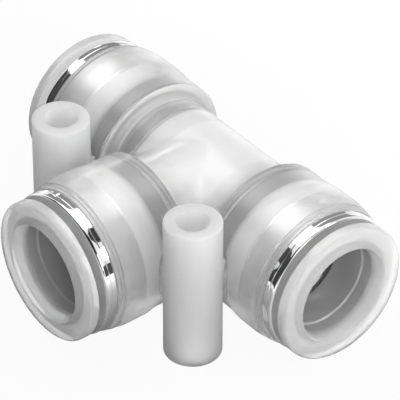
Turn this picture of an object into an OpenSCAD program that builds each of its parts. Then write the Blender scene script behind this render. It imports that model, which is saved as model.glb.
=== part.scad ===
// Push-in tee for plastic tube: two ports in line along X and a branch along -Y,
// with two drilled mounting posts along Z. The origin is where the port axes cross.
// Every turned profile is a list of [radius, distance from the centre of the tee].

/* [Tube] */
// Outside diameter of the tube that each port takes
tube_d = 12; // [11:0.1:13]
// Clearance on the radius where a bore guides the tube
tube_gap = 0.1; // [0.06:0.01:0.2]
// How far the stop that the tube meets stays clear of the neighbouring ports' bores
stop_clear = 0.3; // [0.2:0.1:2]

/* [Core] */
// Wall of the three short tubes that meet in the middle, round the end of the tube
core_wall = 2.1; // [1.6:0.1:2.6]
// Width of the stop that the tube meets, from its guiding bore in to the waterway
stop_width = 1.3; // [0.9:0.1:2.6]
// Radius of the fillet between the core and the flat end of a cup
core_fillet = 0.9; // [0.3:0.1:1]

/* [Cups] */
// Distance from the centre of the tee to the flat end of a cup
cup_reach = 10.6; // [10.2:0.1:12]
// Wall of the plain stretch of a cup, next to its flat end
cup_wall = 1.3; // [1.1:0.05:1.5]
// Length of that plain stretch
cup_plain = 3.9; // [2:0.1:5]
// How far the belly of a cup swells past the plain stretch, on the radius
belly_swell = 0.25; // [0.1:0.05:0.8]
// Length of the soft rise from the plain stretch to the belly
belly_rise = 2; // [1:0.1:3]
// Length of the belly at its full diameter
belly_len = 2.6; // [1:0.1:3.4]
// How far the narrow band at the mouth stays inside the plain stretch, on the radius
lip_inset = 0.2; // [0.05:0.05:0.4]
// Length of that band
lip_len = 1; // [0.5:0.1:1.6]
// Radius of the rounded edge at the mouth
lip_round = 0.25; // [0.1:0.05:0.4]
// Radius of the edge round the flat end
heel_round = 0.15; // [0.05:0.05:0.4]
// Thickness of the floor under the seal
floor_t = 1; // [0.6:0.1:2]
// Play on the radius between the rings and the bore of the cup
ring_play = 0.1; // [0.05:0.01:0.2]

/* [Posts] */
// Distance of each post's axis from the branch axis, along X
post_x = 13.3; // [13:0.1:13.6]
// Distance of each post's axis from the run axis, along Y
post_y = 13.3; // [13:0.1:13.6]
// Diameter of a post
post_d = 7.4; // [6.8:0.1:8]
// Height of a post, level with the belly when both are the same
post_h = 20.3; // [16:0.1:24]
// Hole through a post
post_hole_d = 4.2; // [3.2:0.1:5]
// Radius of the edges of a post
post_round = 0.3; // [0.1:0.05:0.6]
// Height of the web between a post and a cup
web_h = 4.2; // [2:0.1:8]
// Height of the web's middle over the port axes
web_lift = 1.1; // [0:0.1:2]
// Thickness of that web
web_t = 3.8; // [2:0.1:4.4]

/* [Seal ring] */
// Length of the seal along the port
seal_len = 2.2; // [1.6:0.1:3]
// How far the seal's lip stands inside the tube's radius
seal_bite = 0.15; // [0.05:0.01:0.25]
// Thickness of the seal's inner and outer lips at their tips
seal_lip_t = 0.55; // [0.3:0.05:0.8]

/* [Back-up ring] */
// Thickness of the back-up ring
backup_t = 0.6; // [0.4:0.1:1.2]
// Clearance on the radius between the tube and the back-up and support rings
passing_gap = 0.3; // [0.15:0.05:0.4]

/* [Grab ring] */
// Thickness of the flat rim
grab_t = 0.3; // [0.2:0.05:0.5]
// Thickness of a tooth, square to its slope
tooth_t = 0.3; // [0.2:0.05:0.4]
// Number of teeth
tooth_count = 16; // [10:1:20]
// Width of the slot between two teeth
tooth_slot = 0.6; // [0.4:0.1:0.9]
// Width of the flat rim, from its edge in to the roots of the teeth
grab_rim = 1.1; // [0.9:0.1:1.5]
// How far the tips stand inside the tube's radius
tooth_bite = 0.15; // [0.05:0.01:0.25]
// Slope of the teeth, away from the flat of the rim
tooth_slope = 42; // [35:1:48]

/* [Support ring] */
// Length of the support ring
support_len = 2.9; // [2:0.1:3.4]
// Room between the teeth and the support ring's cone, along the port
tooth_room = 0.3; // [0.1:0.05:0.5]

/* [Retaining sleeve] */
// Length of the sleeve inside the cup
sleeve_len = 4.4; // [4:0.1:5.2]
// Wall of the sleeve inside the cup
sleeve_wall = 0.5; // [0.3:0.05:0.7]
// How far the collar outside the cup stands out past the cup's bore, on the radius
collar_step = 0.9; // [0.7:0.05:1.1]
// Length of the collar
collar_len = 1.6; // [1:0.1:2]
// Radius of the rounded rim of the collar
collar_round = 0.3; // [0.1:0.05:0.4]
// Depth of the fine groove round the collar
collar_groove = 0.12; // [0.05:0.01:0.2]

/* [Release ring] */
// How far the ring slides in
ring_travel = 1; // [0.5:0.1:1.2]
// Clearance left under the flange, and in front of the teeth, when the ring is in
ring_end_gap = 0.1; // [0.05:0.01:0.2]
// Clearance on the radius between the ring and the collar
ring_run_gap = 0.08; // [0.04:0.01:0.1]
// Wall of the ring's sleeve
ring_wall = 1.05; // [0.8:0.05:1.2]
// How much wider the bore is at its throat, on the radius
throat_step = 0.2; // [0.1:0.05:0.3]
// Depth of that wider stretch under the flange
throat_len = 2.2; // [1:0.1:3]
// How far the flange's rim stays inside the collar's, on the radius
flange_inset = 0.15; // [0.05:0.05:0.6]
// Thickness of the flange at its rim
flange_t = 1.4; // [1:0.1:2]
// Radius of the flange's front edge
flange_round = 0.5; // [0.2:0.05:0.6]
// Height of the mouth above the flange's front edge
mouth_rise = 0.3; // [0.1:0.05:0.6]
// Width of the rounded mouth, on the radius
mouth_flare = 0.35; // [0.2:0.05:0.7]
// Length of the rounded mouth
mouth_len = 1.8; // [1:0.1:2.4]
// Height of the snap bead over the ring's sleeve
bead_h = 0.4; // [0.2:0.05:0.6]
// Length of the flat top of the bead
bead_len = 0.5; // [0.3:0.1:1]
// Room round the bead inside the retaining sleeve, on the radius
bead_room = 0.45; // [0.1:0.05:0.6]

/* [Hidden] */

// Turns of the three ports about Z, from +X
right_turn = 0;
left_turn = 180;
branch_turn = -90;
port_turns = [right_turn, left_turn, branch_turn];

round_steps = 5;
cut_over = 1;

// Radii that follow from the tube
tube_r = tube_d / 2;
guide_r = tube_r + tube_gap;
passing_r = tube_r + passing_gap;
bite_r = tube_r - tooth_bite;
seal_r = tube_r - seal_bite;

// Radii from the tube outwards: release ring, retaining sleeve, then the cup round them
ring_sleeve_r = guide_r + ring_wall;
collar_bore_r = ring_sleeve_r + ring_run_gap;
bead_r = ring_sleeve_r + bead_h;
sleeve_r = bead_r + bead_room;
ring_r = sleeve_r + sleeve_wall;
tooth_root_r = ring_r - grab_rim;
socket_r = ring_r + ring_play;
collar_r = socket_r + collar_step;
flange_r = collar_r - flange_inset;
cup_r = socket_r + cup_wall;
belly_r = cup_r + belly_swell;
lip_r = cup_r - lip_inset;
core_r = guide_r + core_wall;
waterway_r = guide_r - stop_width;

// The tube's stop lies further out than the bores that cross it
stop_at = guide_r + stop_clear;

// Places along a port, each from the one before it
seal_at = cup_reach + floor_t;
backup_at = seal_at + seal_len;
support_at = backup_at + backup_t;
grab_at = support_at + support_len;
sleeve_at = grab_at + grab_t;
mouth_at = sleeve_at + sleeve_len;
collar_at = mouth_at + collar_len;
flange_at = collar_at + ring_travel + ring_end_gap;
rim_at = flange_at + flange_t;
face_at = rim_at + mouth_rise;

// A tooth's middle line leaves the middle of the rim at the root and slopes to the centre of the tee
tooth_fall = tan(tooth_slope);
tooth_half = tooth_t / 2 / cos(tooth_slope);
function tooth_middle(r) = grab_at + grab_t / 2 - (tooth_root_r - r) * tooth_fall;

// The release ring's nose just clears the teeth when the ring is in
nose_r = guide_r + ring_wall / 2;
nose_at = tooth_middle(nose_r) + tooth_half + ring_end_gap + ring_travel;

// Points of an arc from angle a to angle b about [r, s]
function arc(r, s, radius, a, b) =
    [for (i = [0:round_steps])
        let (t = a + (b - a) * i / round_steps) [r + radius * cos(t), s + radius * sin(t)]];

// Points of a smooth S from one radius to another
function soft_step(r0, s0, r1, s1) =
    [for (i = [0:round_steps])
        let (t = i / round_steps) [r0 + (r1 - r0) * (1 - cos(180 * t)) / 2, s0 + (s1 - s0) * t]];

module turned(profile) {
    rotate([0, 90, 0]) rotate_extrude($fn = 96) polygon(profile);
}

module at_port(turn) {
    rotate([0, 0, turn]) children();
}

// Outside of one arm, from the centre of the tee to the mouth
module arm_solid() {
    lip_at = mouth_at - lip_len;
    plain_end = cup_reach + cup_plain;
    belly_at = plain_end + belly_rise;
    belly_end = belly_at + belly_len;
    neck_r = (belly_r + lip_r) / 2;
    turned(concat(
        [[0, 0], [core_r, 0]],
        arc(core_r + core_fillet, cup_reach - core_fillet, core_fillet, 180, 90),
        arc(cup_r - heel_round, cup_reach + heel_round, heel_round, -90, 0),
        soft_step(cup_r, plain_end, belly_r, belly_at),
        soft_step(belly_r, belly_end, neck_r, lip_at),
        [[lip_r, lip_at + (neck_r - lip_r) / 2]],
        arc(lip_r - lip_round, mouth_at - lip_round, lip_round, 0, 90),
        [[0, mouth_at]]
    ));
}

// Everything hollow in one arm: waterway, tube socket and the socket for the rings
module arm_hollow() {
    lead = 0.3;
    turned([
        [0, 0],
        [waterway_r, 0],
        [waterway_r, stop_at],
        [guide_r, stop_at],
        [guide_r, seal_at - lead],
        [guide_r + lead, seal_at],
        [socket_r, seal_at],
        [socket_r, mouth_at + cut_over],
        [0, mouth_at + cut_over]
    ]);
}

module post_solid() {
    r = post_d / 2;
    h = post_h / 2;
    rotate_extrude($fn = 96) polygon(concat(
        [[0, -h]],
        arc(r - post_round, -h + post_round, post_round, -90, 0),
        arc(r - post_round, h - post_round, post_round, 0, 90),
        [[0, h]]
    ));
}

// Webs from a post to the run cup and to the branch cup, into the wall of each
module post_webs() {
    wall = (cup_r - socket_r) / 2;
    run_len = post_y - cup_r + wall;
    branch_len = post_x - cup_r + wall;
    low = web_lift - web_h / 2;
    translate([-web_t / 2, 0, low]) cube([web_t, run_len, web_h]);
    translate([-branch_len, -web_t / 2, low]) cube([branch_len, web_t, web_h]);
}

module tee_body() {
    color("gainsboro", 0.6) difference() {
        union() {
            for (turn = port_turns) at_port(turn) arm_solid();
            translate([post_x, -post_y, 0]) {
                post_solid();
                post_webs();
            }
            translate([-post_x, -post_y, 0]) {
                post_solid();
                mirror([1, 0, 0]) post_webs();
            }
        }
        for (turn = port_turns) at_port(turn) arm_hollow();
        for (x = [-post_x, post_x])
            translate([x, -post_y, -post_h / 2 - cut_over])
                cylinder(d = post_hole_d, h = post_h + 2 * cut_over, $fn = 64);
    }
}

// Lip seal: a heel against the back-up ring and two lips that open to the waterway
module seal_ring() {
    heel_at = backup_at - seal_len * 0.4;
    lip_mid = (passing_r + ring_r) / 2;
    color("dimgray") turned([
        [ring_r, seal_at],
        [ring_r, backup_at],
        [passing_r, backup_at],
        [passing_r, heel_at + seal_len * 0.1],
        [seal_r, seal_at + seal_len * 0.3],
        [tube_r, seal_at],
        [tube_r + seal_lip_t, seal_at],
        [lip_mid - seal_lip_t / 2, heel_at],
        [lip_mid + seal_lip_t / 2, heel_at],
        [ring_r - seal_lip_t, seal_at]
    ]);
}

module backup_ring() {
    color("ivory") turned([
        [passing_r, backup_at],
        [ring_r, backup_at],
        [ring_r, support_at],
        [passing_r, support_at]
    ]);
}

// Hard ring whose cone leaves room for the teeth
module support_ring() {
    cone_low = tooth_middle(passing_r) - tooth_half - tooth_room;
    cone_r = tooth_root_r + (grab_t / 2 + tooth_half + tooth_room) / tooth_fall;
    color("whitesmoke") turned([
        [passing_r, support_at],
        [ring_r, support_at],
        [ring_r, grab_at],
        [cone_r, grab_at],
        [passing_r, cone_low]
    ]);
}

// Flat rim and a ring of slanted teeth, cut apart by radial slots
module grab_ring() {
    slot_r = tooth_root_r - tooth_slot / 2;
    low = tooth_middle(bite_r) - tooth_half - cut_over;
    color("silver") difference() {
        union() {
            turned([
                [tooth_root_r - tooth_t / 2, grab_at],
                [ring_r, grab_at],
                [ring_r, sleeve_at],
                [tooth_root_r - tooth_t / 2, sleeve_at]
            ]);
            turned([
                [bite_r, tooth_middle(bite_r) - tooth_half],
                [tooth_root_r, tooth_middle(tooth_root_r) - tooth_half],
                [tooth_root_r, tooth_middle(tooth_root_r) + tooth_half],
                [bite_r, tooth_middle(bite_r) + tooth_half]
            ]);
        }
        for (i = [0:tooth_count - 1])
            rotate([i * 360 / tooth_count, 0, 0]) {
                translate([low, -tooth_slot / 2, 0])
                    cube([sleeve_at + cut_over - low, tooth_slot, slot_r]);
                translate([low, 0, slot_r])
                    rotate([0, 90, 0])
                        cylinder(d = tooth_slot, h = sleeve_at + cut_over - low, $fn = 24);
            }
    }
}

// Turned stainless sleeve: thin inside the cup, a bright collar outside it
module retaining_sleeve() {
    groove_mid = mouth_at + collar_len * 0.45;
    color("lightsteelblue") turned(concat(
        [
            [sleeve_r, sleeve_at],
            [ring_r, sleeve_at],
            [ring_r, mouth_at],
            [collar_r, mouth_at],
            [collar_r, groove_mid - collar_groove],
            [collar_r - collar_groove, groove_mid],
            [collar_r, groove_mid + collar_groove]
        ],
        arc(collar_r - collar_round, collar_at - collar_round, collar_round, 0, 90),
        [
            [collar_bore_r, collar_at],
            [collar_bore_r, mouth_at],
            [sleeve_r, mouth_at]
        ]
    ));
}

// Flange, guiding sleeve and snap bead of the ring that is pushed in to let the tube go
module release_ring() {
    bead_end = mouth_at - ring_end_gap;
    bead_start = bead_end - bead_len;
    throat_r = guide_r + throat_step;
    throat_at = flange_at - throat_len;
    mouth_r = throat_r + mouth_flare;
    color("white") turned(concat(
        [
            [guide_r, nose_at],
            [nose_r, nose_at],
            [ring_sleeve_r, nose_at + ring_wall],
            [ring_sleeve_r, bead_start - bead_h],
            [bead_r, bead_start],
            [bead_r, bead_end],
            [ring_sleeve_r, bead_end],
            [ring_sleeve_r, flange_at]
        ],
        arc(flange_r - heel_round, flange_at + heel_round, heel_round, -90, 0),
        arc(flange_r - flange_round, rim_at - flange_round, flange_round, 0, 90),
        [for (i = [0:round_steps])
            let (t = 90 * i / round_steps)
            [mouth_r - mouth_flare * sin(t), face_at - mouth_len * (1 - cos(t))]],
        [
            [throat_r, throat_at + throat_step],
            [guide_r, throat_at]
        ]
    ));
}

module left_seal_ring() {
    at_port(left_turn) seal_ring();
}

module left_backup_ring() {
    at_port(left_turn) backup_ring();
}

module left_support_ring() {
    at_port(left_turn) support_ring();
}

module left_grab_ring() {
    at_port(left_turn) grab_ring();
}

module left_retaining_sleeve() {
    at_port(left_turn) retaining_sleeve();
}

module left_release_ring() {
    at_port(left_turn) release_ring();
}

module right_seal_ring() {
    at_port(right_turn) seal_ring();
}

module right_backup_ring() {
    at_port(right_turn) backup_ring();
}

module right_support_ring() {
    at_port(right_turn) support_ring();
}

module right_grab_ring() {
    at_port(right_turn) grab_ring();
}

module right_retaining_sleeve() {
    at_port(right_turn) retaining_sleeve();
}

module right_release_ring() {
    at_port(right_turn) release_ring();
}

module branch_seal_ring() {
    at_port(branch_turn) seal_ring();
}

module branch_backup_ring() {
    at_port(branch_turn) backup_ring();
}

module branch_support_ring() {
    at_port(branch_turn) support_ring();
}

module branch_grab_ring() {
    at_port(branch_turn) grab_ring();
}

module branch_retaining_sleeve() {
    at_port(branch_turn) retaining_sleeve();
}

module branch_release_ring() {
    at_port(branch_turn) release_ring();
}

tee_body();
left_seal_ring();
left_backup_ring();
left_support_ring();
left_grab_ring();
left_retaining_sleeve();
left_release_ring();
right_seal_ring();
right_backup_ring();
right_support_ring();
right_grab_ring();
right_retaining_sleeve();
right_release_ring();
branch_seal_ring();
branch_backup_ring();
branch_support_ring();
branch_grab_ring();
branch_retaining_sleeve();
branch_release_ring();
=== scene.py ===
"""Looks of a push-in tee for plastic tube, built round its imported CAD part."""
import bmesh
import bpy
import math
import numpy as np
from mathutils import Matrix, Vector


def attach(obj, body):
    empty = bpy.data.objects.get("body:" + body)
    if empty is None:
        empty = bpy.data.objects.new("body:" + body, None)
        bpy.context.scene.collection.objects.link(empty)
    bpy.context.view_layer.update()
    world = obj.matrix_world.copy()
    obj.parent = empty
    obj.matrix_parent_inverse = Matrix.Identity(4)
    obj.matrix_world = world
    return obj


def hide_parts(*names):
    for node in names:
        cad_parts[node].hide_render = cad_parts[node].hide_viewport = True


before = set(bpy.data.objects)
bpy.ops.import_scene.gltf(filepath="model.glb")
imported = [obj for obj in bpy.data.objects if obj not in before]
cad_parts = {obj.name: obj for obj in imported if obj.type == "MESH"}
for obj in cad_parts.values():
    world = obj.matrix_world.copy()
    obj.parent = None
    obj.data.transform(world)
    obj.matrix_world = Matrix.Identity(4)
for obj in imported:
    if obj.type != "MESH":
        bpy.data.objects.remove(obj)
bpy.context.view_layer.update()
scene = bpy.context.scene

MM = 0.001
PORTS = {"right": 0.0, "left": 180.0, "branch": -90.0}

# Radii in mm, from the inside out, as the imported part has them
WATERWAY_R, SEAL_R, GUIDE_R, PASSING_R, NOSE_R = 4.8, 5.85, 6.1, 6.3, 6.625
RING_SLEEVE_R, COLLAR_BORE_R, BEAD_R, SLEEVE_R = 7.15, 7.23, 7.55, 8.0
CORE_R, RING_R, SOCKET_R, FLANGE_R, COLLAR_R = 8.2, 8.5, 8.6, 9.35, 9.5
LIP_R, CUP_R, BELLY_R = 9.7, 9.9, 10.15

# Places along an arm in mm, from the middle of the tee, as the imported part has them
STOP_AT, CUP_AT, SEAL_AT, BACKUP_AT, SLEEVE_AT, NOSE_AT = 6.4, 10.6, 11.6, 13.8, 17.6, 18.054
MOUTH_AT, COLLAR_AT, FLANGE_AT, RIM_AT, FACE_AT = 22.0, 23.6, 24.7, 26.1, 26.4
CORE_FILLET = 0.9

# Posts and webs in mm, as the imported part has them
POST_X, POST_Y, POST_R, POST_H, HOLE_R = 13.3, 13.3, 3.7, 20.3, 2.1
WEB_T, WEB_FOOT, WEB_TOP = 3.8, -1.0, 3.2
FOOT_Z = -POST_H / 2 * MM

# The small inner ring's groove in mm, which is only modelled here
GROOVE_R, GROOVE_AT, GROOVE_END = 6.7, 8.0, 10.3

# How finely outlines are turned. The path's radius and the weld are in mm.
SEGMENTS, PATH_R, WELD = 160, 10.0, 0.0005

PLASTIC_IOR = 1.49


class Value:
    """A socket in a node tree, with the arithmetic that the materials use."""

    def __init__(self, tree, socket):
        self.tree = tree
        self.socket = socket

    def _math(self, operation, *others):
        return self.tree.node("ShaderNodeMath", {"operation": operation}, dict(enumerate((self,) + others)))

    def __add__(self, other):
        return self._math("ADD", other)

    __radd__ = __add__

    def __mul__(self, other):
        return self._math("MULTIPLY", other)

    __rmul__ = __mul__

    def __sub__(self, other):
        return self._math("SUBTRACT", other)

    def __rsub__(self, other):
        return self.tree.node("ShaderNodeMath", {"operation": "SUBTRACT"}, {0: other, 1: self})

    def sqrt(self):
        return self._math("SQRT")

    def size(self):
        """The value without its sign."""
        return self._math("ABSOLUTE")

    def larger(self, other):
        return self._math("MAXIMUM", other)

    def between(self, low, high):
        """low where the value is 0 and high where it is 1."""
        return self * (high - low) + low

    def step(self, low, high):
        """0 under low mm, 1 over high mm, smooth between."""
        return self.tree.node("ShaderNodeMapRange", {"interpolation_type": "SMOOTHSTEP"},
                              {"Value": self, "From Min": low * MM, "From Max": high * MM})

    def beside(self, output):
        """Another output of the same node."""
        return Value(self.tree, self.socket.node.outputs[output])


class Tree:
    """A node tree that is filled with one method."""

    def __init__(self, tree):
        self.tree = tree
        tree.nodes.clear()

    def node(self, kind, settings=None, inputs=None, output=0):
        made = self.tree.nodes.new(kind)
        for name, value in (settings or {}).items():
            setattr(made, name, value)
        for name, value in (inputs or {}).items():
            socket = made.inputs[name]
            if isinstance(value, Value):
                self.tree.links.new(value.socket, socket)
            else:
                socket.default_value = value
        return Value(self, made.outputs[output]) if made.outputs else made


def grey(level):
    return (level, level, level, 1.0)


def material(name):
    made = bpy.data.materials.new(name)
    made.use_nodes = True
    return made, Tree(made.node_tree)


def output(tree, surface, kind="ShaderNodeOutputMaterial"):
    tree.node(kind, inputs={"Surface": surface})


def dress(obj, made):
    """The finish in every material slot of a piece or CAD node."""
    if obj.data.materials:
        for i in range(len(obj.data.materials)):
            obj.data.materials[i] = made
    else:
        obj.data.materials.append(made)


def blend(tree, share, first, second):
    """A grey level that goes from first to second."""
    return tree.node("ShaderNodeMix", {"data_type": "RGBA"},
                     {0: share, 6: grey(first), 7: grey(second)}, output=2)


def plan_place(tree):
    """How far a point is along X and along Y, in metres."""
    place = tree.node("ShaderNodeTexCoord", output="Object")
    parts = tree.node("ShaderNodeSeparateXYZ", inputs={"Vector": place})
    return parts.beside("X"), parts.beside("Y")


def arm_place(tree):
    """How far a point is along its arm from the middle of the tee, in metres."""
    x, y = plan_place(tree)
    return x.size().larger(0.0 - y)


def distance(across, along):
    """How far a point is from where both values are 0."""
    return (across * across + along * along).sqrt()


def grain(tree, size_mm, detail=2.0):
    """Soft noise from 0 to 1, in spots of about this size."""
    place = tree.node("ShaderNodeTexCoord", output="Object")
    return tree.node("ShaderNodeTexNoise", inputs={
        "Vector": place, "Scale": 1.0 / (size_mm * MM), "Detail": detail})


def turned_lines(tree, size_mm):
    """Noise from 0 to 1 that only changes along an arm, as the marks of a tool do."""
    return tree.node("ShaderNodeTexNoise", {"noise_dimensions": "1D"}, {
        "W": arm_place(tree), "Scale": 1.0 / (size_mm * MM), "Detail": 3.0})


def relief(tree, height, depth_mm):
    """A normal for skin that rises by depth_mm where height is 1."""
    return tree.node("ShaderNodeBump", inputs={
        "Height": height, "Distance": depth_mm * MM, "Strength": 1.0})


def clear_shader(tree, level, clearness, roughness, normal, gloss=0.0):
    """Natural polypropylene: clear as far as clearness says, and milky for the rest."""
    return tree.node("ShaderNodeBsdfPrincipled", inputs={
        "Base Color": grey(level), "Roughness": roughness, "IOR": PLASTIC_IOR,
        "Transmission Weight": clearness, "Coat Weight": gloss, "Coat Roughness": 0.08, "Normal": normal})


def milky_shader(tree, level, clearness, roughness, depth_mm, normal):
    """Thick polypropylene, in which light wanders depth_mm under the surface."""
    return tree.node("ShaderNodeBsdfPrincipled", inputs={
        "Base Color": grey(level), "Roughness": roughness, "IOR": PLASTIC_IOR,
        "Transmission Weight": clearness, "Subsurface Weight": 1.0, "Subsurface Scale": depth_mm * MM,
        "Subsurface Radius": (1.0, 1.0, 1.0), "Normal": normal})


def milky_share(tree):
    """How milky the housing's wall is: most where the arms meet, and not at all in the cups."""
    x = plan_place(tree)[0]
    reach = arm_place(tree)
    # Painted shade: the core left of its middle, and more so the left arm past the stop, are made clearer
    # than the other arms. The dark parts inside then show through there as a dark band.
    left_core_painted_shade = 1.0 - x.step(-3.9, -3.5)
    left_arm_painted_shade = 1.0 - x.step(-6.5, -6.0)
    past_stop = reach.step(STOP_AT, STOP_AT + 0.8) * (0.1 + left_arm_painted_shade * 0.67)
    cup_floor = reach.step(CUP_AT - 1.3, CUP_AT - 0.8) * 0.75
    in_cup = reach.step(CUP_AT + 0.02, CUP_AT + 0.06)
    return (1.0 - past_stop - left_core_painted_shade * 0.15 + cup_floor) * (1.0 - in_cup)


def housing_plastic(name):
    """Clear in the thin cups, milky in the thick posts and where the three arms meet.

    Cup and core stay under a roughness of 0.27, because the denoiser leaves specks where one crosses it.
    """
    made, tree = material(name)
    x, y = plan_place(tree)
    from_post = distance(x.size() - POST_X * MM, y + POST_Y * MM)
    in_post = 1.0 - from_post.step(POST_R - 0.05, POST_R + 0.7)
    flow = relief(tree, grain(tree, 4.0), 0.05)
    matt = grain(tree, 0.6)
    cup = clear_shader(tree, level=0.99, clearness=0.87, roughness=matt.between(0.205, 0.265), normal=flow)
    core = milky_shader(tree, level=0.99, clearness=0.55, roughness=matt.between(0.2, 0.26),
                        depth_mm=4.0, normal=flow)
    post = milky_shader(tree, level=0.99, clearness=0.5, roughness=matt.between(0.45, 0.55),
                        depth_mm=8.0, normal=relief(tree, matt, 0.01))
    arms = tree.node("ShaderNodeMixShader", inputs={0: milky_share(tree), 1: cup, 2: core})
    output(tree, tree.node("ShaderNodeMixShader", inputs={0: in_post, 1: arms, 2: post}))
    return made


def ring_plastic(name):
    """Milky in the thick flange, clear in the thin sleeve behind it, whose grey is lower as painted shade
    in the bore.
    """
    made, tree = material(name)
    in_flange = arm_place(tree).step(FLANGE_AT - 0.7, FLANGE_AT - 0.4)
    flow = relief(tree, grain(tree, 3.0), 0.03)
    matt = grain(tree, 0.6)
    # Painted shade: the sleeve's grey is lower than the flange's, for the shade inside the bore.
    sleeve = clear_shader(tree, level=0.64, clearness=0.5, roughness=0.3, normal=flow, gloss=1.0)
    flange = milky_shader(tree, level=0.99, clearness=0.62, roughness=matt.between(0.11, 0.17),
                          depth_mm=3.0, normal=flow)
    output(tree, tree.node("ShaderNodeMixShader", inputs={0: in_flange, 1: sleeve, 2: flange}))
    return made


def bright_steel(name):
    """Polished on the collar, satin inside the cup and rougher on the cut edge at the mouth. Inside the cup
    and on that edge its colour is also darker, as painted shade.
    """
    made, tree = material(name)
    reach = arm_place(tree)
    in_cup = 1.0 - reach.step(MOUTH_AT - 0.1, MOUTH_AT)
    on_edge = reach.step(COLLAR_AT - 0.05, COLLAR_AT - 0.01)
    marks = turned_lines(tree, 0.12)
    # Painted shade: the same steel is darker inside the cup and on its end face in the gap at the mouth.
    output(tree, tree.node("ShaderNodeBsdfPrincipled", inputs={
        "Base Color": blend(tree, in_cup * 0.6 + on_edge * 0.62, 0.82, 0.3), "Metallic": 1.0,
        "Roughness": in_cup * 0.31 + on_edge * 0.3 + marks.between(0.03, 0.07)}))
    return made


def spring_steel(name):
    """Stamped strip: satin, with the marks of rolling."""
    made, tree = material(name)
    marks = grain(tree, 0.25)
    output(tree, tree.node("ShaderNodeBsdfPrincipled", inputs={
        "Base Color": blend(tree, marks, 0.5, 0.7), "Metallic": 1.0, "Roughness": marks.between(0.18, 0.33),
        "Normal": relief(tree, marks, 0.004)}))
    return made


def rubber(name):
    """Black and matt, with a fine moulded skin."""
    made, tree = material(name)
    skin = grain(tree, 0.2, 4.0)
    output(tree, tree.node("ShaderNodeBsdfPrincipled", inputs={
        "Base Color": blend(tree, skin, 0.015, 0.03), "Roughness": skin.between(0.4, 0.6),
        "Normal": relief(tree, skin, 0.01)}))
    return made


def hard_plastic_painted_shade(name):
    """Painted shade: dark towards the seal, and pale by the grab ring."""
    made, tree = material(name)
    # Painted shade: the grey falls from pale to dark towards the seal.
    pale = arm_place(tree).step(BACKUP_AT - 0.5, BACKUP_AT + 1.1)
    matt = grain(tree, 0.4)
    output(tree, tree.node("ShaderNodeBsdfPrincipled", inputs={
        "Base Color": blend(tree, pale, 0.1, 0.72), "Roughness": matt.between(0.35, 0.55),
        "Normal": relief(tree, matt, 0.01)}))
    return made


finishes = {
    "housing": housing_plastic("milky_polypropylene"),
    "ring": ring_plastic("clear_polypropylene"),
    "bright": bright_steel("polished_stainless"),
    "spring": spring_steel("stamped_stainless"),
    "hard": hard_plastic_painted_shade("hard_ring_plastic_painted_shade"),
    "seal": rubber("black_seal_rubber"),
}
finish_of = {"tee_body": "housing", "seal_ring": "seal", "backup_ring": "hard", "support_ring": "hard",
             "grab_ring": "spring", "retaining_sleeve": "bright", "release_ring": "ring"}
for name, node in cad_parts.items():
    kind = next(k for k in finish_of if name.endswith(k))
    dress(node, finishes[finish_of[kind]])


def rounded(corners, steps=5):
    """Points of a closed outline, with each corner (radius, place, rounding) rounded. All in mm.

    Points close to both ends of a rounding, held off by hold, keep the skin beside it flat in the shading.
    A rounding takes up to share of each side, and one that would take less than least is left out.
    """
    hold, least, share = 0.04, 0.001, 0.49
    points = []
    for i, (r, s, rounding) in enumerate(corners):
        here = Vector((r, s))
        before = Vector(corners[i - 1][:2]) - here
        after = Vector(corners[(i + 1) % len(corners)][:2]) - here
        turn = math.pi - before.angle(after)
        reach = min(rounding * math.tan(turn / 2), before.length * share, after.length * share)
        if reach < least:
            points.append((r, s))
            continue
        start, end = here + before.normalized() * reach, here + after.normalized() * reach
        if before.length > 2 * (reach + hold):
            points.append(tuple(here + before.normalized() * (reach + hold)))
        for k in range(steps + 1):
            t = k / steps
            point = start * (1 - t) ** 2 + here * 2 * t * (1 - t) + end * t * t
            points.append((point.x, point.y))
        if after.length > 2 * (reach + hold):
            points.append(tuple(here + after.normalized() * (reach + hold)))
    return points


def soft_step(r0, s0, r1, s1, steps=12):
    """Corners of a smooth S from one radius to another."""
    return [(r0 + (r1 - r0) * (1 - math.cos(math.pi * k / steps)) / 2, s0 + (s1 - s0) * k / steps, 0)
            for k in range(steps + 1)]


def ridge(radius, middle, height, half, steps=6):
    """Corners of a low round ridge on a cylinder, which reaches half to both sides of its middle."""
    return [(radius + height * (0.5 + 0.5 * math.cos(math.pi * k / steps)), middle + half * k / steps, 0)
            for k in range(1 - steps, steps)]


def even(r, s0, s1, gap):
    """Corners spread evenly along a straight cylinder, so that its skin can be moved later."""
    count = max(1, round((s1 - s0) / gap))
    return [(r, s0 + (s1 - s0) * k / count, 0) for k in range(count)]


def quarter_turn(steps):
    """Angles from 0 to a right angle, in radians."""
    return [math.pi / 2 * k / steps for k in range(steps + 1)]


def mirrored(corners):
    """The same corners on both sides of the middle."""
    return [(r, -s, rounding) for r, s, rounding in corners[::-1] if s] + corners


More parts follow.
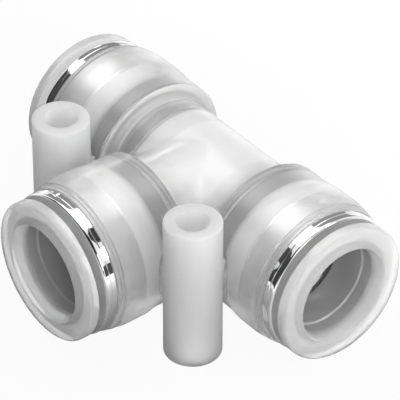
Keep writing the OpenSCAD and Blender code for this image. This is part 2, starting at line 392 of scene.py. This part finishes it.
def turning_nodes():
    """Carries an outline round the Z axis. In the outline, X is the radius past the path and Y is -Z."""
    group = bpy.data.node_groups.new("turned_ring", "GeometryNodeTree")
    for name, kind in (("Outline", "Geometry"), ("Segments", "Int"), ("Path radius", "Float"),
                       ("Finish", "Material")):
        group.interface.new_socket(name, in_out="INPUT", socket_type="NodeSocket" + kind)
    group.interface.new_socket("Ring", in_out="OUTPUT", socket_type="NodeSocketGeometry")
    tree = Tree(group)
    given = tree.node("NodeGroupInput")
    circle = tree.node("GeometryNodeCurvePrimitiveCircle", inputs={
        "Resolution": given.beside("Segments"), "Radius": given.beside("Path radius")})
    path = tree.node("GeometryNodeSetCurveNormal", {"mode": "Z_UP"}, {"Curve": circle})
    section = tree.node("GeometryNodeMeshToCurve", inputs={0: given.beside("Outline")})
    skin = tree.node("GeometryNodeCurveToMesh", inputs={"Curve": path, "Profile Curve": section})
    whole = tree.node("GeometryNodeMergeByDistance", inputs={"Geometry": skin, "Distance": WELD * MM})
    real = tree.node("GeometryNodeRealizeInstances", inputs={0: whole})
    dressed = tree.node("GeometryNodeSetMaterial", inputs={
        "Geometry": real, "Material": given.beside("Finish")})
    tree.node("NodeGroupOutput", inputs={0: dressed})
    return group


TURNING = turning_nodes()


def settle(obj):
    """Makes the object a plain mesh, with what its modifiers make."""
    layer = bpy.context.evaluated_depsgraph_get()
    mesh = bpy.data.meshes.new_from_object(obj.evaluated_get(layer), depsgraph=layer)
    obj.modifiers.clear()
    old = obj.data
    obj.data = mesh
    bpy.data.meshes.remove(old)


def smooth(obj, degrees):
    """Soft shading, with creases where the skin turns by more than this."""
    obj.data.shade_smooth()
    obj.data.set_sharp_from_angle(angle=math.radians(degrees))


def place_mesh(name, mesh):
    """A new object in the scene that shows this mesh."""
    obj = bpy.data.objects.new(name, mesh)
    scene.collection.objects.link(obj)
    return obj


def turned(name, points, port, finish):
    """A ring with its axis along a port, from an outline of (radius, place) in mm."""
    area = sum(r0 * s1 - r1 * s0 for (r0, s0), (r1, s1) in zip(points, points[1:] + points[:1]))
    if area > 0:
        # Every outline runs the same way round, so that the faces point outwards
        points = points[::-1]
    count = len(points)
    mesh = bpy.data.meshes.new(name)
    mesh.from_pydata([((r - PATH_R) * MM, -s * MM, 0) for r, s in points],
                     [(i, (i + 1) % count) for i in range(count)], [])
    obj = place_mesh(name, mesh)
    maker = obj.modifiers.new("turned_ring", "NODES")
    maker.node_group = TURNING
    sockets = {item.name: item.identifier for item in TURNING.interface.items_tree
               if item.in_out == "INPUT"}
    maker[sockets["Segments"]] = SEGMENTS
    maker[sockets["Path radius"]] = PATH_R * MM
    maker[sockets["Finish"]] = finish
    settle(obj)
    turn = Matrix.Rotation(math.radians(PORTS[port]), 4, "Z") @ Matrix.Rotation(math.pi / 2, 4, "Y")
    obj.data.transform(turn)
    smooth(obj, 35)
    return obj


def combine(obj, others, operation):
    """Joins other solids to a piece or cuts them from it."""
    for other in others:
        tool = obj.modifiers.new("combine", "BOOLEAN")
        tool.operation = operation
        tool.solver = "MANIFOLD"
        tool.object = other
    settle(obj)
    for other in others:
        bpy.data.objects.remove(other)


def join(obj, other):
    """Adds the mesh of another object to a piece, as it is."""
    whole = bmesh.new()
    whole.from_mesh(obj.data)
    whole.from_mesh(other.data)
    whole.to_mesh(obj.data)
    whole.free()
    bpy.data.objects.remove(other)


def retaining_sleeve(port):
    """The sleeve inside the cup, and in front of it the collar with its fine groove."""
    line_at, line_half, line_depth = MOUTH_AT + 0.7, 0.08, 0.04
    corners = [
        (SLEEVE_R, SLEEVE_AT, 0.04), (RING_R, SLEEVE_AT, 0.04), (RING_R, MOUTH_AT, 0),
        (COLLAR_R, MOUTH_AT, 0.06), (COLLAR_R, line_at - line_half, 0.03),
        (COLLAR_R - line_depth, line_at, 0.05), (COLLAR_R, line_at + line_half, 0.03),
        (COLLAR_R, COLLAR_AT, 0.45), (COLLAR_BORE_R, COLLAR_AT, 0.05),
        (COLLAR_BORE_R, MOUTH_AT, 0.05), (SLEEVE_R, MOUTH_AT, 0)]
    piece = turned(port + "_bright_sleeve", rounded(corners), port, finishes["bright"])
    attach(piece, "tee")
    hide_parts(port + "_retaining_sleeve")


def release_ring(port):
    """The flange that is pressed, and its sleeve with the bead that catches under the collar."""
    flare, flare_length = 0.35, 1.8
    nose_end, bead_foot, bead_at, bead_end, throat_at = 19.1, 21.0, 21.4, 21.9, 22.5
    mouth_r = PASSING_R + flare
    mouth = [(mouth_r - flare * math.sin(a), FACE_AT - flare_length * (1 - math.cos(a)), 0)
             for a in quarter_turn(12)[1:]]
    corners = [
        (GUIDE_R, NOSE_AT, 0.1), (NOSE_R, NOSE_AT, 0.1), (RING_SLEEVE_R, nose_end, 0.1),
        (RING_SLEEVE_R, bead_foot, 0.05), (BEAD_R, bead_at, 0.08), (BEAD_R, bead_end, 0.08),
        (RING_SLEEVE_R, bead_end, 0.05), (RING_SLEEVE_R, FLANGE_AT, 0.15), (FLANGE_R, FLANGE_AT, 0.15),
        (FLANGE_R, RIM_AT, 0.5), (mouth_r, FACE_AT, 0.25)] + mouth + [
        (PASSING_R, throat_at + 0.2, 0.1), (GUIDE_R, throat_at, 0.1)]
    piece = turned(port + "_clear_ring", rounded(corners), port, finishes["ring"])
    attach(piece, port + "_release")
    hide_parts(port + "_release_ring")


def seal_ring(port):
    """The lip seal in the socket, and the small ring in its groove. Both just clear the housing."""
    side, end = 0.001, 0.01
    heel_r, front_r, outside_r = 6.0, 8.4, SOCKET_R - side
    heel_at, lip_at, taper_at, lip_root_at = SEAL_AT + end, 12.3, 12.9, 13.1
    lips = [(outside_r, heel_at, 0.0), (outside_r, taper_at, 0.5), (front_r, BACKUP_AT, 0.3),
            (PASSING_R, BACKUP_AT, 0.1), (PASSING_R, lip_root_at, 0.1), (SEAL_R, lip_at, 0.1),
            (heel_r, heel_at, 0.1)]
    inner_r, outer_r = GUIDE_R + 0.05, GROOVE_R - side
    wiper = [(inner_r, GROOVE_AT + end, 0.1), (outer_r, GROOVE_AT + end, 0.02),
             (outer_r, GROOVE_END - end, 0.02), (inner_r, GROOVE_END - end, 0.1)]
    piece = turned(port + "_black_seal", rounded(lips), port, finishes["seal"])
    join(piece, turned("wiper", rounded(wiper), port, finishes["seal"]))
    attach(piece, "tee")
    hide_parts(port + "_seal_ring")


def arm_corners():
    """Outside of an arm, from the middle of the tee to its mouth."""
    core_end = CUP_AT - CORE_FILLET
    rise_at, rise_end, fall_at, fall_end, fall_r = 14.5, 16.5, 19.1, 20.9, 9.93
    fillet = [(CORE_R + CORE_FILLET * (1 - math.cos(a)), core_end + CORE_FILLET * math.sin(a), 0)
              for a in quarter_turn(8)]
    belly = soft_step(CUP_R, rise_at, BELLY_R, rise_end) + soft_step(BELLY_R, fall_at, fall_r, fall_end)
    foot_r, foot_at, ridge_at, foot_end, lip_at = LIP_R - 0.04, 21.06, 21.35, 21.6, 21.7
    lip = ([(foot_r, foot_at, 0.06)] + ridge(LIP_R, ridge_at, height=0.12, half=0.2)
           + [(foot_r, foot_end, 0), (LIP_R, lip_at, 0.06), (LIP_R, MOUTH_AT, 0.2)])
    return even(CORE_R, 0.0, core_end, gap=0.3) + fillet + [(CUP_R, CUP_AT, 0.15)] + belly + lip


def hollow_corners():
    """Everything hollow in an arm, from the middle of the tee to past its mouth."""
    chamfer, mouth_play = 0.3, 0.1
    return [(WATERWAY_R, STOP_AT, 0.1), (GUIDE_R, STOP_AT, 0.1), (GUIDE_R, GROOVE_AT, 0.05),
            (GROOVE_R, GROOVE_AT, 0.1), (GROOVE_R, GROOVE_END, 0.1), (GUIDE_R, GROOVE_END, 0.05),
            (GUIDE_R, SEAL_AT - chamfer, 0.05), (GUIDE_R + chamfer, SEAL_AT, 0.05),
            (SOCKET_R, SEAL_AT, 0.1), (SOCKET_R, MOUTH_AT, 0.15),
            (SOCKET_R + mouth_play, MOUTH_AT + 0.05, 0), (SOCKET_R + mouth_play, MOUTH_AT + 1.0, 0)]


def post(name, side, radius, reach, rounding):
    """A post, or the hole through it, on one side of the branch."""
    corners = [(0, -reach, 0), (radius, -reach, rounding), (radius, reach, rounding), (0, reach, 0)]
    obj = turned(name, rounded(corners), "right", finishes["housing"])
    obj.data.transform(Matrix.Rotation(math.pi / 2, 4, "Y"))
    obj.data.transform(Matrix.Translation((side * POST_X * MM, -POST_Y * MM, 0)))
    return obj


def web(name, low, high):
    """A flat wall with softened edges between two corners in mm."""
    mesh = bpy.data.meshes.new(name)
    block = bmesh.new()
    bmesh.ops.create_cube(block, size=1.0)
    for corner in block.verts:
        corner.co = [(low[i] + (high[i] - low[i]) * (corner.co[i] + 0.5)) * MM for i in range(3)]
    bmesh.ops.bevel(block, geom=block.edges[:], offset=0.3 * MM, segments=4, affect="EDGES", profile=0.5)
    block.to_mesh(mesh)
    block.free()
    return place_mesh(name, mesh)


def blend_core(mesh, radius_mm):
    """Moves the skin where the run and the branch meet on to a fillet of this radius.

    The fillet is where a smooth minimum of the distances to both arms is 0, and each round comes closer.
    """
    fillet_end, behind, fade_length, widest, rounds = 9.6, 0.5, 2.0, 1.6, 6
    place = np.empty(len(mesh.vertices) * 3)
    mesh.vertices.foreach_get("co", place)
    place = place.reshape(-1, 3) / MM
    x, y, z = place.T
    inside = (np.abs(x) < fillet_end) & (y > -fillet_end) & (y < behind)
    for _ in range(rounds):
        x, y, z = place.T
        run, branch = np.hypot(y, z), np.hypot(x, z)
        run_out = np.stack([0 * x, y / run, z / run], 1)
        branch_out = np.stack([x / branch, 0 * y, z / branch], 1)
        reach = np.maximum(np.abs(x), -y)
        fade = np.clip((fillet_end - reach) / fade_length, 0, 1)
        width = np.minimum(radius_mm * (1 - (run_out * branch_out).sum(1)), widest)
        width = np.maximum(width * fade * fade * (3 - 2 * fade), 1e-6)
        past_run, past_branch = run - CORE_R, branch - CORE_R
        near = np.clip(1 - np.abs(past_run - past_branch) / width, 0, 1)
        field = np.minimum(past_run, past_branch) - near * near * width / 4
        share = np.where(past_run < past_branch, 1 - near / 2, near / 2)[:, None]
        slope = share * run_out + (1 - share) * branch_out
        move = -field / (slope * slope).sum(1)
        place[inside] += (slope * move[:, None])[inside]
    mesh.vertices.foreach_set("co", (place * MM).ravel())
    mesh.update()


def solid_arms(finish):
    """The run and the branch, solid, with the fillet between them.

    The branch is a little thinner at its start, so that its skin doesn't graze the run's.
    """
    arm = arm_corners()
    run_outline = mirrored(arm) + [(0, MOUTH_AT, 0), (0, -MOUTH_AT, 0)]
    start_at, thin_to = 0.02, 1.0
    start = [(CORE_R - 0.1, start_at, 0), (CORE_R - 0.02, 0.6, 0)]
    rest = [corner for corner in arm if corner[1] > thin_to]
    branch_outline = start + rest + [(0, MOUTH_AT, 0), (0, start_at, 0)]
    run = turned("milky_housing", rounded(run_outline), "right", finish)
    combine(run, [turned("branch_arm", rounded(branch_outline), "branch", finish)], "UNION")
    blend_core(run.data, radius_mm=3.0)
    return run


def posts_and_webs():
    """Both posts, each with a web to the run and one to the branch that end inside the cups' walls."""
    wall_r = (SOCKET_R + CUP_R) / 2
    half = WEB_T / 2
    made = []
    for side, word in ((-1, "left"), (1, "right")):
        x = side * POST_X
        near, far = sorted((side * wall_r, x))
        made.append(post(word + "_post", side, POST_R, POST_H / 2, rounding=0.3))
        made.append(web(word + "_run_web", (x - half, -POST_Y, WEB_FOOT), (x + half, -wall_r, WEB_TOP)))
        made.append(web(word + "_branch_web",
                        (near, -POST_Y - half, WEB_FOOT), (far, -POST_Y + half, WEB_TOP)))
    return made


def hollows(finish):
    """What is cut from the housing: all that is hollow in the arms, and the holes through the posts."""
    hollow = hollow_corners()
    start_at, end_at, hole_reach = 0.013, hollow[-1][1], 12.0
    run_outline = mirrored(hollow) + [(0, end_at, 0), (0, -end_at, 0)]
    branch_outline = [(WATERWAY_R, start_at, 0)] + hollow + [(0, end_at, 0), (0, start_at, 0)]
    return [turned("run_hollow", rounded(run_outline), "right", finish),
            turned("branch_hollow", rounded(branch_outline), "branch", finish),
            post("left_hole", -1, HOLE_R, hole_reach, rounding=0),
            post("right_hole", 1, HOLE_R, hole_reach, rounding=0)]


def housing():
    """The one moulding that holds everything."""
    finish = finishes["housing"]
    body = solid_arms(finish)
    combine(body, posts_and_webs(), "UNION")
    combine(body, hollows(finish), "DIFFERENCE")
    smooth(body, 32)
    dress(body, finish)
    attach(body, "tee")
    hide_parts("tee_body")


def plate(name, centre, normal, width, height):
    """A flat rectangle that faces along normal."""
    w, h = width / 2, height / 2
    mesh = bpy.data.meshes.new(name)
    mesh.from_pydata([(-w, -h, 0), (w, -h, 0), (w, h, 0), (-w, h, 0)], [], [(0, 1, 2, 3)])
    mesh.transform(Vector(normal).to_track_quat("Z", "Y").to_matrix().to_4x4())
    mesh.transform(Matrix.Translation(centre))
    return place_mesh(name, mesh)


def seen_directly(tree, mirror_share):
    """1 for the camera's view and for refractions, mirror_share for reflections, 0 for other light."""
    camera = tree.node("ShaderNodeLightPath", output="Is Camera Ray")
    return camera + camera.beside("Is Glossy Ray") * mirror_share + camera.beside("Is Transmission Ray")


def build_floor():
    """White to the camera, and pale to other light, with a painted shadow: a darker patch in front of the
    tee.
    """
    finish, tree = material("pale_floor_with_painted_shadow")
    x, y = plan_place(tree)
    # Painted shadow of the tee on the floor, which reflections and bounced light mostly show.
    away = distance(x + 20 * MM, y + 50 * MM).step(30, 130)
    lit = tree.node("ShaderNodeBsdfDiffuse", inputs={"Color": blend(tree, away, 0.25, 0.85)})
    white = tree.node("ShaderNodeEmission", inputs={"Color": grey(1.0), "Strength": 1.0})
    output(tree, tree.node("ShaderNodeMixShader", inputs={
        0: seen_directly(tree, 0.1) * 0.95, 1: lit, 2: white}))
    floor = plate("floor", (0, 0, FOOT_Z - 0.01 * MM), (0, 0, 1), 6.0, 6.0)
    dress(floor, finish)


def build_world():
    """A room that is white to the camera and in reflections, and pale to other light."""
    world = bpy.data.worlds.new("studio")
    scene.world = world
    world.use_nodes = True
    tree = Tree(world.node_tree)
    room = tree.node("ShaderNodeBackground", inputs={"Color": grey(0.7), "Strength": 1.0})
    white = tree.node("ShaderNodeBackground", inputs={"Color": grey(1.0), "Strength": 1.0})
    output(tree, tree.node("ShaderNodeMixShader", inputs={
        0: seen_directly(tree, 1.0), 1: room, 2: white}), "ShaderNodeOutputWorld")


def softbox(name, centre, width, height, radiance, mirrored=True, inside=True, aim=(0, 0, 0)):
    """A rectangular lamp that faces aim and glows at radiance, where 1 is white. Sizes are in metres.

    Reflections show it if mirrored, and light that has come through the plastic if inside.
    """
    lamp = bpy.data.lights.new(name, "AREA")
    lamp.shape = "RECTANGLE"
    lamp.size, lamp.size_y = width, height
    lamp.energy = radiance * math.pi * width * height
    obj = bpy.data.objects.new(name, lamp)
    obj.location = centre
    obj.rotation_mode = "QUATERNION"
    obj.rotation_quaternion = (Vector(centre) - Vector(aim)).to_track_quat("Z", "Y")
    obj.visible_glossy = mirrored
    obj.visible_transmission = inside
    scene.collection.objects.link(obj)


def flag(name, azimuth, elevation, radius, width, height, level, shades=False, inside=False):
    """A grey card round the object that faces it. Angles are in degrees and sizes in metres.

    Only reflections show it, and those inside the plastic if inside. It also takes light away if it shades.
    """
    a, e = math.radians(azimuth), math.radians(elevation)
    outwards = Vector((math.cos(a) * math.cos(e), math.sin(a) * math.cos(e), math.sin(e)))
    obj = plate(name, outwards * radius, -outwards, width, height)
    finish, tree = material(name)
    output(tree, tree.node("ShaderNodeBsdfDiffuse", inputs={"Color": grey(level)}))
    dress(obj, finish)
    obj.visible_camera = False
    obj.visible_transmission = inside
    obj.visible_shadow = shades
    obj.visible_diffuse = shades


def build_lamps():
    """A wide lamp overhead, small lamps round the object, and dark cards that its gloss reflects."""
    x, y = -0.2975, 0.058
    softbox("overhead_softbox", (x, y, 0.7), 0.945, 0.704, 1.15, aim=(x, y, 0))
    softbox("overhead_fill", (x, y, 0.71), 0.945, 0.704, 1.5, mirrored=False, aim=(x, y, 0))
    softbox("right_softbox", (0.511, 0.343, 0.326), 0.14, 0.2, 5.0, inside=False)
    softbox("right_fill", (0.515, 0.346, 0.329), 0.35, 0.35, 3.0, mirrored=False, inside=False)
    softbox("front_right_fill", (0.6, -0.25, 0.25), 0.35, 0.35, 4.0, mirrored=False, inside=False)
    softbox("left_softbox", (-0.506, 0.296, 0.17), 0.07, 0.1, 3.0, inside=False)
    softbox("side_softbox", (0.63, -0.07, 0.28), 0.3, 0.3, 2.2)
    flag("front_left_flag", 228, 19.5, 0.6, 0.56, 0.57, 0.05, shades=True)
    flag("front_flag", 262, 22, 0.62, 0.45, 0.6, 0.05, shades=True, inside=True)
    flag("camera_flag", -38.8, 38.2, 0.7, 1.0, 1.0, 0.03)
    flag("right_flag", 30, 5.5, 0.62, 0.4, 0.2, 0.06, inside=True)
    flag("upper_right_flag", 52, 50, 0.58, 0.225, 0.225, 0.05)
    flag("back_left_flag", 135, 32, 0.65, 0.8, 0.56, 0.25)


# The camera, fitted to the rims of the three ports. Its focal length is in pixels of the photograph.
AZIMUTH, ELEVATION, ROLL = math.radians(51.183), math.radians(38.209), math.radians(0.161)
AIM = (0.594 * MM, -1.984 * MM, 0.0)
DISTANCE = 458.186 * MM
FOCAL_LENGTH, PHOTO_WIDTH = 3618.065, 400
SENSOR_WIDTH = 36.0


def build_camera():
    back = Vector((math.sin(AZIMUTH) * math.cos(ELEVATION), -math.cos(AZIMUTH) * math.cos(ELEVATION),
                   math.sin(ELEVATION)))
    level = Vector((math.cos(AZIMUTH), math.sin(AZIMUTH), 0))
    above = back.cross(level)
    right = level * math.cos(ROLL) + above * math.sin(ROLL)
    up = above * math.cos(ROLL) - level * math.sin(ROLL)
    lens = bpy.data.cameras.new("photo_camera")
    lens.sensor_width = SENSOR_WIDTH
    lens.lens = SENSOR_WIDTH * FOCAL_LENGTH / PHOTO_WIDTH
    lens.clip_start, lens.clip_end = 0.01, 20.0
    camera = bpy.data.objects.new("photo_camera", lens)
    scene.collection.objects.link(camera)
    turn = Matrix((right, up, back)).transposed().to_4x4()
    camera.matrix_world = Matrix.Translation(Vector(AIM) + back * DISTANCE) @ turn
    scene.camera = camera


for port in PORTS:
    retaining_sleeve(port)
    release_ring(port)
    seal_ring(port)
housing()
build_floor()
build_world()
build_lamps()
build_camera()

scene.view_settings.view_transform = "Standard"
scene.cycles.use_denoising = True
scene.cycles.max_bounces = 24
scene.cycles.diffuse_bounces = 6
scene.cycles.glossy_bounces = 10
scene.cycles.transmission_bounces = 20
